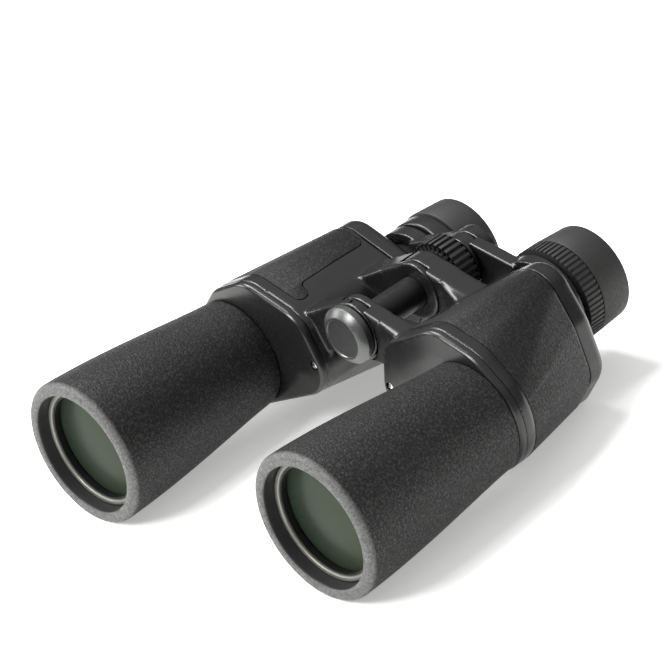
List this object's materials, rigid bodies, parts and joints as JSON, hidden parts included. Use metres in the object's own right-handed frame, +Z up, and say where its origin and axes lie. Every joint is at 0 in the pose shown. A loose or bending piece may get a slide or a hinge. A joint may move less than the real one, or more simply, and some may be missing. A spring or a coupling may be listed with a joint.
{
  "type": "binoculars",
  "caption": "Centre-focus Porro-prism binoculars with offset objective tubes, folding centre hinge, focus wheel, sliding ocular bridge and rubber eyecups.",
  "frame": {"origin": "middle of the overall length and width, on the level surface it stands on", "axes": "+X to the right half as a user looks through it, +Y towards the eyepieces, +Z up"},
  "size_m": [0.1964, 0.1862, 0.0657],
  "materials": {
    "housing": "satin black paint over cast metal",
    "armour": "finely pebbled dark grey armour",
    "rubber": "matt moulded rubber",
    "inner_metal": "black anodised",
    "ring_metal": "satin clear anodised",
    "cap_metal": "satin grey metallic paint",
    "screw_steel": "plain steel",
    "coated_glass": "green anti-reflection coating",
    "clear_glass": "polished"
  },
  "bodies": {
    "left_half": {"left_cover_screw": "screw_steel", "left_eyepiece_guide": "inner_metal", "left_front_cover": "housing", "left_front_prism": "clear_glass", "left_grip_panel": "armour", "left_lens_cell": "inner_metal", "left_objective_lens": "coated_glass", "left_objective_tube": "armour", "left_prism_housing": "housing", "left_prism_shelf": "inner_metal", "left_rear_cover": "housing", "left_rear_prism": "clear_glass", "left_retaining_ring": "ring_metal", "hinge_tube": "inner_metal", "hinge_set_screw": "screw_steel"},
    "right_half": {"right_cover_screw": "screw_steel", "right_eyepiece_guide": "inner_metal", "right_front_cover": "housing", "right_front_prism": "clear_glass", "right_grip_panel": "armour", "right_lens_cell": "inner_metal", "right_objective_lens": "coated_glass", "right_objective_tube": "armour", "right_prism_housing": "housing", "right_prism_shelf": "inner_metal", "right_rear_cover": "housing", "right_rear_prism": "clear_glass", "right_retaining_ring": "ring_metal"},
    "left_ocular": {"left_bridge_arm": "housing", "left_eyepiece_barrel": "inner_metal", "left_eyepiece_collar": "housing", "left_field_lens": "clear_glass", "left_eye_lens": "clear_glass", "left_eyecup": "rubber", "focus_spindle": "screw_steel", "bridge_nut": "inner_metal"},
    "right_ocular": {"right_bridge_arm": "housing"},
    "right_barrel": {"right_eyepiece_barrel": "inner_metal", "right_field_lens": "clear_glass", "right_eye_lens": "clear_glass"},
    "diopter": {"diopter_ring": "rubber", "right_eyecup": "rubber"},
    "focus_wheel": {"focus_wheel": "rubber"},
    "cap_washer": {"cap_washer": "rubber"},
    "hinge_cap": {"hinge_cap": "cap_metal"}
  },
  "joints": [
    {"name": "fold", "type": "hinge", "parent": "left_half", "child": "right_half", "pos_m": [0, 0.00515, 0.0503], "axis": [0, 1, 0], "range_deg": [-4, 40]},
    {"name": "focus_turn", "type": "hinge", "parent": "left_half", "child": "focus_wheel", "pos_m": [0, 0.05115, 0.0503], "axis": [0, 1, 0], "range_deg": [-54, 354]},
    {"name": "left_focus_travel", "type": "slide", "parent": "left_half", "child": "left_ocular", "axis": [0, 1, 0], "range_m": [-0.001, 0.007]},
    {"name": "right_focus_travel", "type": "slide", "parent": "right_half", "child": "right_ocular", "axis": [0, 1, 0], "range_m": [-0.0011, 0.0072]},
    {"name": "diopter_travel", "type": "slide", "parent": "right_ocular", "child": "right_barrel", "axis": [0, 1, 0], "range_m": [-0.0008, 0.0008]},
    {"name": "diopter_turn", "type": "hinge", "parent": "right_barrel", "child": "diopter", "pos_m": [0.0356, 0.07315, 0.035], "axis": [0, 1, 0], "range_deg": [-60, 60]},
    {"name": "cap_travel", "type": "slide", "parent": "left_half", "child": "cap_washer", "axis": [0, -1, 0], "range_m": [0, 0.0051]},
    {"name": "cap_turn", "type": "hinge", "parent": "cap_washer", "child": "hinge_cap", "pos_m": [0, -0.00385, 0.0503], "axis": [0, -1, 0], "range_deg": [0, 1440]}
  ],
  "couplings": [
    {"joint": "focus_turn", "follows": "left_focus_travel", "rad_per_m": 873.36},
    {"joint": "right_focus_travel", "follows": "left_focus_travel", "ratio": 1},
    {"joint": "diopter_travel", "follows": "diopter_turn", "m_per_rad": 0.000763},
    {"joint": "cap_travel", "follows": "cap_turn", "m_per_rad": 0.0002021}
  ]
}
